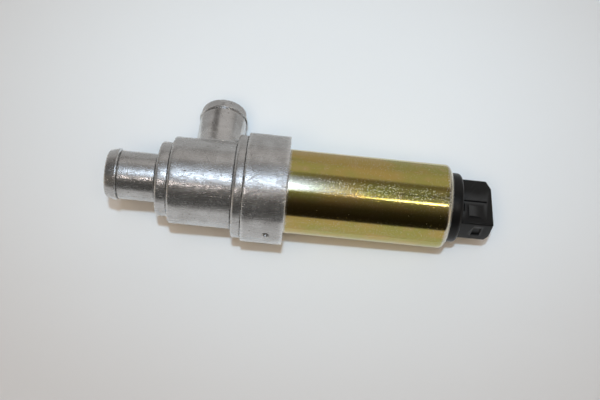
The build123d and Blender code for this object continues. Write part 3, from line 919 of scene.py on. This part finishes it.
def box_mesh(name, low, high):
    """Box between two corners."""
    work = bmesh.new()
    bmesh.ops.create_cube(work, size=1)
    size = Vector(high) - Vector(low)
    middle = (Vector(high) + Vector(low)) / 2
    place = Matrix.Translation(middle) @ Matrix.Diagonal((*size, 1))
    bmesh.ops.transform(work, verts=work.verts, matrix=place)
    return taken_from(work, name)


def catch_mesh(sizes, face, boss):
    """Ramp that the plug's wire snaps over, on the broad side that faces up."""
    back = boss + 3.2 * MM
    land = back + 0.8 * MM
    toe = back + 5.6 * MM
    low, high = -7.7 * MM, -2.7 * MM
    sunk = face + 0.5 * MM
    top = face - sizes.latch_rise
    section = [(sunk, back), (top, back), (top, land), (face + 0.05 * MM, toe), (sunk, toe)]
    points = [(x, y, z) for y in (low, high) for x, z in section]
    count = len(section)
    faces = [tuple(range(count)), tuple(range(count, 2 * count))]
    faces += [(i, (i + 1) % count, count + (i + 1) % count, count + i) for i in range(count)]
    return mesh_of("catch", points, faces)


def cap_mesh(sizes):
    """Round boss with the plug socket, its key groove, catch and pockets."""
    front = station("connector_cap", 0)
    mouth = station("connector_cap", 1)
    boss = mouth - sizes.socket_reach
    rim = station("solenoid_can", 1)
    corners = [
        (0, front, 0),
        (sizes.body_radius, front, 0.2 * MM),
        (sizes.body_radius, rim - 2.2 * MM, 0.2 * MM),
        (sizes.boss_radius, rim - 1.0 * MM, 0.1 * MM),
        (sizes.boss_radius, boss, sizes.boss_round),
        (0, boss, 0),
    ]
    outline = rounded(corners, arc_steps=6)
    axis_start = outline.index(Vector((0, boss)))
    outline = outline[: axis_start + 1]
    mesh = lathe("boss", outline, segments=144, closed=False)
    mesh = combined(mesh, socket_mesh(sizes, boss - 1.0 * MM, mouth), "UNION")
    face = -sizes.socket_height / 2
    mesh = combined(mesh, catch_mesh(sizes, face, boss), "UNION")
    half_key = sizes.key_width / 2
    key_end = mouth - 2.2 * MM
    pocket_depth = 1.0 * MM
    pocket_end = boss + 1.9 * MM
    clear = face - 1.0 * MM
    cuts = [
        ((clear, -half_key, boss), (face + sizes.key_depth, half_key, key_end)),
        ((clear, -5.3 * MM, boss), (face + pocket_depth, -1.5 * MM, pocket_end)),
    ]
    edge = sizes.socket_width / 2
    half_window = 2.7 * MM
    window_start, window_end = mouth - 7.6 * MM, mouth - 4.2 * MM
    for side in (-1, 1):
        low, high = sorted((side * (edge - pocket_depth), side * (edge + pocket_depth)))
        cuts.append(((-half_window, low, window_start), (half_window, high, window_end)))
    for number, (low, high) in enumerate(cuts):
        mesh = combined(mesh, box_mesh(f"cut_{number}", low, high), "DIFFERENCE")
    return bevelled(mesh, sizes.edge_round)


def wire_tree(name):
    """Geometry nodes of a round wire wound into a coil along Z, and the identifiers of its inputs."""
    tree = bpy.data.node_groups.new(name, "GeometryNodeTree")
    sockets = {}
    for kind, labels in (
        ("NodeSocketFloat", ("Radius", "Height", "Turns", "Wire Radius")),
        ("NodeSocketInt", ("Steps", "Sides")),
        ("NodeSocketMaterial", ("Material",)),
    ):
        for label in labels:
            sockets[label] = tree.interface.new_socket(label, in_out="INPUT", socket_type=kind).identifier
    tree.interface.new_socket("Geometry", in_out="OUTPUT", socket_type="NodeSocketGeometry")
    made = Nodes(tree)
    given = made.add("NodeGroupInput").outputs
    coil = made.add(
        "GeometryNodeCurveSpiral",
        {
            "Resolution": given["Steps"],
            "Rotations": given["Turns"],
            "Start Radius": given["Radius"],
            "End Radius": given["Radius"],
            "Height": given["Height"],
        },
    )
    section = made.add(
        "GeometryNodeCurvePrimitiveCircle", {"Resolution": given["Sides"], "Radius": given["Wire Radius"]}
    )
    wire = made.add(
        "GeometryNodeCurveToMesh",
        {"Curve": coil.outputs[0], "Profile Curve": section.outputs[0], "Fill Caps": True},
    )
    smooth = made.add("GeometryNodeSetShadeSmooth", {"Geometry": wire.outputs[0]})
    whole = made.add("GeometryNodeRealizeInstances", {"Geometry": smooth.outputs[0]})
    coated = made.add(
        "GeometryNodeSetMaterial", {"Geometry": whole.outputs[0], "Material": given["Material"]}
    )
    made.add("NodeGroupOutput", {0: coated.outputs[0]})
    return tree, sockets


def coil_mesh(node, material, radius, wire, turns, sides):
    """Plain mesh of a coil of wire, with the wire's radius given, that fills the length of a CAD node."""
    start, end = station(node, 0), station(node, 1)
    tree, sockets = wire_tree("wire_coil")
    holder = bpy.data.objects.new("coil", bpy.data.meshes.new("coil"))
    modifier = holder.modifiers.new("Coil", "NODES")
    modifier.node_group = tree
    inputs = {
        "Radius": radius,
        "Height": end - start - 2 * wire,
        "Turns": float(turns),
        "Wire Radius": wire,
        "Steps": 40,
        "Sides": sides,
        "Material": material,
    }
    for label, value in inputs.items():
        modifier[sockets[label]] = value
    bpy.context.scene.collection.objects.link(holder)
    mesh = evaluated_mesh(holder)
    bpy.data.objects.remove(holder)
    mesh.transform(Matrix.Translation((0, 0, start + wire)))
    return mesh


# Operators


class VALVE_OT_casting(bpy.types.Operator):
    """Make the aluminium casting with its rounded edges and both nipples"""

    bl_idname = "valve.casting"
    bl_label = "Casting"

    def execute(self, context):
        sizes = context.scene.valve_casting
        tip = reach("valve_body", SIDE)[1] - ORIGIN.dot(SIDE)
        height = (Vector(MOUNTS["side_nipple"]["pos_m"]) - ORIGIN).dot(AXIS)
        mesh = lathe("casting", casting_outline(sizes), sizes.segments)
        mesh = combined(mesh, side_nipple_mesh(sizes, tip, height), "UNION")
        mesh = combined(mesh, side_bore_mesh(sizes, tip, height), "DIFFERENCE")
        mesh = combined(mesh, stake_mesh(sizes), "DIFFERENCE")
        mark_edges(mesh)
        mark_casting(mesh, sizes, height)
        mark_grain(mesh)
        smooth_side = sizes.barrel_radius / MM + 2
        material = turned_aluminium_finish("turned_casting", smooth_side)
        piece("valve_casting", mesh, material, "valve_body")
        return {"FINISHED"}


class VALVE_OT_can(bpy.types.Operator):
    """Make the drawn can with its rolled rim"""

    bl_idname = "valve.can"
    bl_label = "Can"

    def execute(self, context):
        sizes = context.scene.valve_can
        mesh = lathe("can", can_outline(sizes), sizes.segments)
        mark_edges(mesh)
        mark_grain(mesh)
        material = gold_zinc_finish("gold_zinc", sizes.rubbed_side)
        piece("drawn_can", mesh, material, "solenoid_can")
        return {"FINISHED"}


class VALVE_OT_cap(bpy.types.Operator):
    """Make the moulded cap with the plug socket"""

    bl_idname = "valve.cap"
    bl_label = "Plug Cap"

    def execute(self, context):
        mesh = cap_mesh(context.scene.valve_cap)
        mark_edges(mesh, scale=0.2 * MM)
        material = moulding_finish("black_moulding", (0.003, 0.003, 0.003), (0.008, 0.008, 0.008), 0.36)
        piece("plug_cap", mesh, material, "connector_cap", sharp=radians(40))
        return {"FINISHED"}


class VALVE_OT_coils(bpy.types.Operator):
    """Make the return spring and the copper winding as wound wire"""

    bl_idname = "valve.coils"
    bl_label = "Spring and Winding"

    def execute(self, context):
        sizes = context.scene.valve_coils
        steel = machined_finish("bright_spring_steel", (0.42, 0.42, 0.43), (0.58, 0.58, 0.59), 0.25)
        wire = sizes.spring_wire / 2
        coil = coil_mesh("return_spring", steel, sizes.spring_radius, wire, sizes.spring_turns, sides=12)
        spring = piece("wound_spring", coil, steel, "return_spring", sharp=pi)
        start, end = station("return_spring", 0), station("return_spring", 1)
        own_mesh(spring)
        copper = machined_finish("enamelled_copper", (0.42, 0.15, 0.06), (0.60, 0.27, 0.12), 0.28)
        start, end = station("coil_winding", 0), station("coil_winding", 1)
        inner, outer = radii("coil_winding")
        wire = sizes.winding_wire / 2
        middle = outer - wire
        turns = round((end - start) / sizes.winding_wire) - 1
        coil = coil_mesh("coil_winding", copper, middle, wire, turns, sides=6)
        core = [(inner, start), (middle, start), (middle, end), (inner, end)]
        layers = joined(coil, lathe("layers", core, segments=72))
        piece("wound_winding", layers, copper, "coil_winding", sharp=radians(60))
        return {"FINISHED"}


class VALVE_OT_inner(bpy.types.Operator):
    """Give the inner pieces their finishes"""

    bl_idname = "valve.inner"
    bl_label = "Inner Pieces"

    def execute(self, context):
        rubber = moulding_finish("seal_rubber", (0.010, 0.010, 0.011), (0.018, 0.018, 0.019), 0.65)
        iron = machined_finish("turned_iron", (0.30, 0.30, 0.31), (0.46, 0.46, 0.47), 0.34)
        brass = machined_finish("drawn_brass", (0.58, 0.42, 0.16), (0.72, 0.56, 0.25), 0.26)
        bronze = machined_finish("sintered_bronze", (0.42, 0.25, 0.10), (0.56, 0.36, 0.17), 0.42)
        steel = machined_finish("bright_steel", (0.46, 0.46, 0.47), (0.60, 0.60, 0.61), 0.24)
        tin = machined_finish("tinned_brass", (0.56, 0.56, 0.53), (0.70, 0.70, 0.67), 0.24)
        alloy = machined_finish("turned_alloy", (0.56, 0.56, 0.56), (0.68, 0.68, 0.68), 0.3)
        bobbin = moulding_finish("bobbin_plastic", (0.50, 0.46, 0.35), (0.62, 0.58, 0.46), 0.5)
        film = film_finish("amber_film")
        finishes = {
            rubber: ("body_gasket", "cap_seal", "seat_washer"),
            iron: ("front_pole", "fixed_core", "rear_pole_plate", "armature"),
            brass: ("guide_sleeve", "stop_washer", "spring_adjuster"),
            bronze: ("front_bush",),
            steel: ("valve_rod", "clamp_washer", "head_nut"),
            tin: ("terminal_left", "terminal_right"),
            alloy: ("valve_head",),
            bobbin: ("coil_bobbin",),
            film: ("coil_wrap",),
        }
        for material, names in finishes.items():
            for name in names:
                slots = frame["nodes"][name].data.materials
                slots.clear()
                slots.append(material)
        return {"FINISHED"}


def lamp(name, place, target, size, power, tint, mirrored):
    """Area lamp of a given width and depth that points at a target; reflections show it where mirrored."""
    data = bpy.data.lights.new(name, "AREA")
    data.shape = "RECTANGLE"
    data.size, data.size_y = size
    data.energy = power
    data.color = tint
    made = bpy.data.objects.new(name, data)
    made.location = place
    back = (Vector(place) - Vector(target)).normalized()
    right = Vector((0, 1, 0)).cross(back).normalized()
    made.rotation_mode = "QUATERNION"
    made.rotation_quaternion = Matrix((right, back.cross(right), back)).transposed().to_quaternion()
    made.visible_glossy = mirrored
    bpy.context.scene.collection.objects.link(made)


def flat_sheet(name, low, high, height, material):
    """Level stage sheet between two corners."""
    mesh = bpy.data.meshes.new(name)
    points = [(low[0], low[1]), (high[0], low[1]), (high[0], high[1]), (low[0], high[1])]
    mesh.from_pydata([(x, y, height) for x, y in points], [], [(0, 1, 2, 3)])
    mesh.materials.append(material)
    sheet = bpy.data.objects.new(name, mesh)
    bpy.context.scene.collection.objects.link(sheet)
    return sheet


def room_light(backdrop_colour):
    """World light of a plain room: grey ceiling with a roof window, pale walls, a dark screen in front."""
    world = bpy.data.worlds.new("room")
    world.use_nodes = True
    made = Nodes(world.node_tree)
    towards = made.add("ShaderNodeTexCoord").outputs["Generated"]
    split = made.add("ShaderNodeSeparateXYZ", {0: towards}).outputs

    def ramp(first, second, *stops):
        """Colours by the angle between two directions, from stops of degrees and colour."""
        angle = made.math("ARCTAN2", split[first], split[second])
        share = made.add("ShaderNodeMapRange", {"Value": angle, "From Min": -pi, "From Max": pi})
        colours = made.add("ShaderNodeValToRGB", {0: share.outputs[0]})
        elements = colours.color_ramp.elements
        while len(elements) < len(stops):
            elements.new(0.5)
        for element, (degrees, shade) in zip(elements, stops):
            element.position = (degrees + 180) / 360
            element.color = (*shade, 1)
        return colours.outputs[0]

    ceiling = (0.265, 0.265, 0.27)
    wall = (0.54, 0.515, 0.495)
    low_wall = (0.43, 0.42, 0.41)
    corner = (0.19, 0.165, 0.14)
    lit = (0.62, 0.52, 0.41)
    floor = (0.60, 0.59, 0.58)
    dark = (0.014, 0.012, 0.010)
    dim = (0.030, 0.027, 0.022)
    dusky = (0.075, 0.065, 0.055)
    edge = (0.20, 0.19, 0.18)
    gloom = (0.25, 0.24, 0.23)
    black, faint, half, white = ((level, level, level) for level in (0.0, 0.1, 0.5, 1.0))
    far_side = (28, ceiling), (35, corner), (42, corner), (48, wall), (70, wall), (93, low_wall)
    near_side = (-82, floor), (-79, dark), (-62, dark), (-42, dim), (-31, dusky), (-13, edge)
    plain = ramp("Y", "Z", (-45, lit), (-6, ceiling), *far_side)
    screened = ramp("Y", "Z", *near_side, (-6, ceiling), *far_side)
    screen = ramp("Y", "X", (-150, black), (-128, white), (-48, white), (-26, black))
    doorway = ramp("Y", "X", (28, white), (33, gloom), (45, gloom), (50, white))
    shelf = ramp("X", "Z", (-72, white), (-62, gloom), (-32, gloom), (-20, white))
    across = ramp("Y", "Z", (-9, black), (1, white), (7, white), (14, half), (26, faint), (48, black))
    along = ramp("X", "Z", (-9, black), (-2, faint), (2.4, white), (4.2, white), (5.5, black))
    walls = made.blend(screen, plain, screened)
    furnished = made.vector("MULTIPLY", made.vector("MULTIPLY", walls, doorway), shelf)
    window = made.vector("MULTIPLY", across, along)
    daylight = (8.2, 9.8, 11.8)
    room_colour = made.vector("MULTIPLY_ADD", window, daylight, furnished)
    room = made.add("ShaderNodeBackground", {"Color": room_colour})
    seen = made.add("ShaderNodeBackground", {"Color": tuple(backdrop_colour)})
    rays = made.add("ShaderNodeLightPath")
    choice = made.add(
        "ShaderNodeMixShader", {0: rays.outputs["Is Camera Ray"], 1: room.outputs[0], 2: seen.outputs[0]}
    )
    made.add("ShaderNodeOutputWorld", {0: choice.outputs[0]})
    bpy.context.scene.world = world


class VALVE_OT_stage(bpy.types.Operator):
    """Set up the bench, the light and the camera"""

    bl_idname = "valve.stage"
    bl_label = "Stage"

    def execute(self, context):
        settings = context.scene.valve_stage
        flat_sheet("bench", (-2, -2), (2, 2), 0, bench_finish("pale_bench", settings.bench_colour))
        # Glowing cards that only mirror images show: painted reflections of the bench, dimmer far off and paler
        # near.
        for name, low, high, shade in (
            ("far_card", (-2, 0.030), (2, 2), (0.45, 0.45, 0.445)),
            ("near_card", (-2, -2), (2, -0.055), (0.60, 0.60, 0.60)),
        ):
            card = flat_sheet(name, low, high, 0.1 * MM, card_finish(name, shade))
            card.visible_camera = False
            card.visible_diffuse = False
            card.visible_shadow = False
        target = Vector(settings.target)
        for name, place, size, power, tint, mirrored in (
            ("bench_lamp", (0.02, -0.004, 0.50), (0.02, 0.02), 1.22, (0.62, 0.83, 1.0), False),
            ("ceiling_lamp", (-0.05, -0.1, 0.68), (0.45, 0.45), 1.4, (1.0, 0.66, 0.30), False),
            ("warm_lamp", (0.225, -0.088, 0.70), (0.09, 0.02), 0.2, (1.0, 0.90, 0.76), True),
            ("rose_lamp", (-0.135, -0.246, 0.70), (0.05, 0.05), 0.15, (1.0, 0.89, 0.86), True),
        ):
            lamp(name, place, target, size, power, tint, mirrored)
        room_light(settings.backdrop_colour)
        azimuth, elevation = settings.azimuth, settings.elevation
        level = cos(elevation)
        back = Vector((sin(azimuth) * level, -cos(azimuth) * level, sin(elevation)))
        data = bpy.data.cameras.new("camera")
        data.lens = settings.lens
        data.clip_start = 0.01
        camera = bpy.data.objects.new("camera", data)
        camera.location = target + back * settings.distance
        camera.rotation_mode = "QUATERNION"
        aim = (-back).to_track_quat("-Z", "Y").to_matrix().to_4x4()
        camera.rotation_quaternion = (aim @ Matrix.Rotation(settings.roll, 4, "Z")).to_quaternion()
        context.scene.collection.objects.link(camera)
        context.scene.camera = camera
        context.scene.view_settings.view_transform = "Standard"
        return {"FINISHED"}


class VALVE_PT_panel(bpy.types.Panel):
    """Sizes of the valve and the operators that make it"""

    bl_label = "Air Valve"
    bl_idname = "VALVE_PT_panel"
    bl_space_type = "VIEW_3D"
    bl_region_type = "UI"
    bl_category = "Air Valve"

    def draw(self, context):
        for group, operators in (
            ("valve_casting", ("valve.casting",)),
            ("valve_can", ("valve.can",)),
            ("valve_cap", ("valve.cap",)),
            ("valve_coils", ("valve.coils", "valve.inner")),
            ("valve_stage", ("valve.stage",)),
        ):
            box = self.layout.box()
            sizes = getattr(context.scene, group)
            for name in sizes.bl_rna.properties.keys():
                if name not in ("rna_type", "name"):
                    box.prop(sizes, name)
            for operator in operators:
                box.operator(operator)


GROUPS = {
    "valve_casting": CastingSizes,
    "valve_can": CanSizes,
    "valve_cap": CapSizes,
    "valve_coils": CoilSizes,
    "valve_stage": StageSettings,
}
CLASSES = (
    *GROUPS.values(),
    VALVE_OT_casting,
    VALVE_OT_can,
    VALVE_OT_cap,
    VALVE_OT_coils,
    VALVE_OT_inner,
    VALVE_OT_stage,
    VALVE_PT_panel,
)


def register():
    for cls in CLASSES:
        bpy.utils.register_class(cls)
    for name, group in GROUPS.items():
        setattr(bpy.types.Scene, name, PointerProperty(type=group))


def unregister():
    for name in GROUPS:
        delattr(bpy.types.Scene, name)
    for cls in reversed(CLASSES):
        bpy.utils.unregister_class(cls)


def main():
    register()
    bpy.ops.valve.casting()
    bpy.ops.valve.can()
    bpy.ops.valve.cap()
    bpy.ops.valve.coils()
    bpy.ops.valve.inner()
    bpy.ops.valve.stage()


if __name__ == "__main__":
    main()
